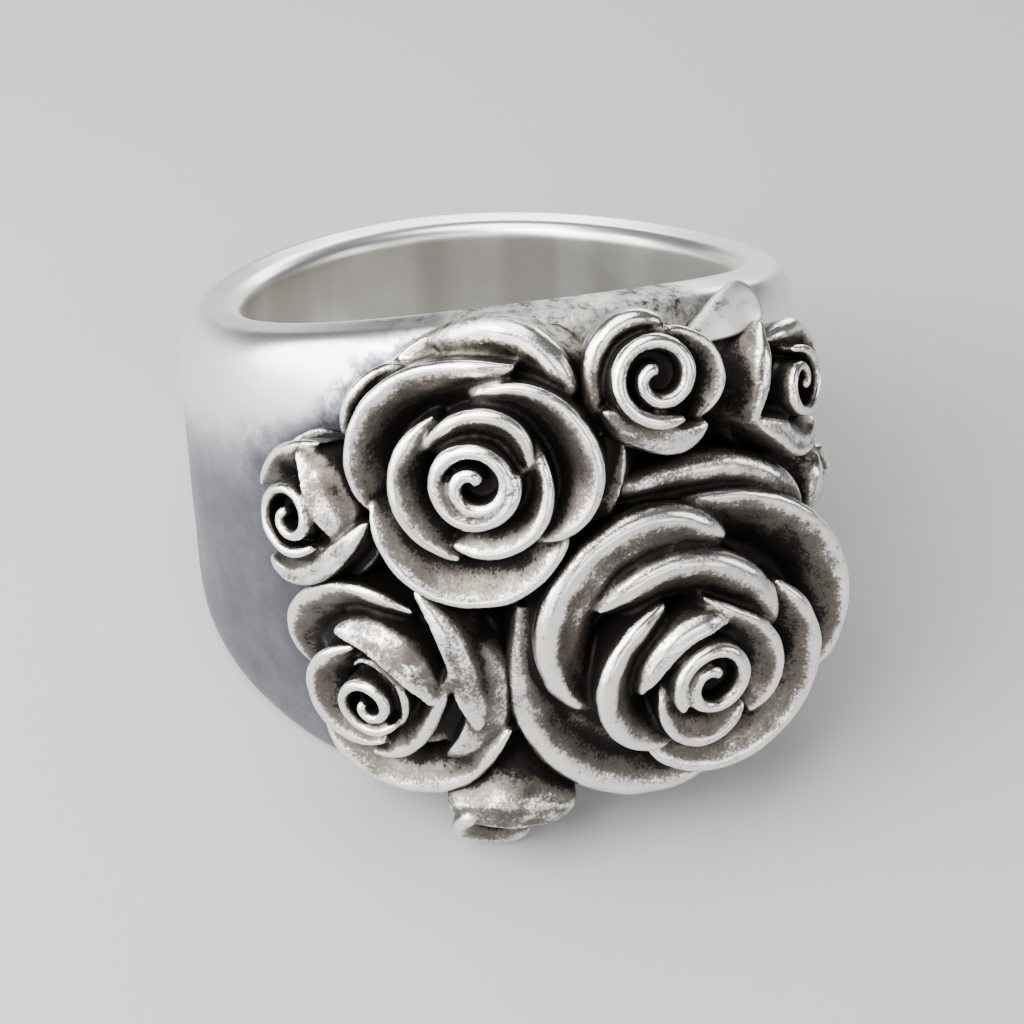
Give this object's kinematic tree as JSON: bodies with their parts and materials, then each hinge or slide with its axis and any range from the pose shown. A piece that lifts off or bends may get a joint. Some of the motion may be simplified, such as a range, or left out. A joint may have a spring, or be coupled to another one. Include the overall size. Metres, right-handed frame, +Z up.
{
  "type": "statement ring",
  "caption": "Wide oxidised silver finger ring that narrows to the back, with a bouquet of open roses and a leaf raised on its front.",
  "frame": {"origin": "where the finger hole's axis meets the surface that the ring rests on", "axes": "+Z up from that surface, -Y to the front with the roses, +X to the right seen from the front"},
  "size_m": [0.0232, 0.0285, 0.0204],
  "materials": {
    "oxidised_silver": "sterling silver, polished on the high places, satin on the band and darkened by oxide in the hollows"
  },
  "bodies": {
    "root": {"ring": "oxidised_silver"}
  },
  "joints": []
}
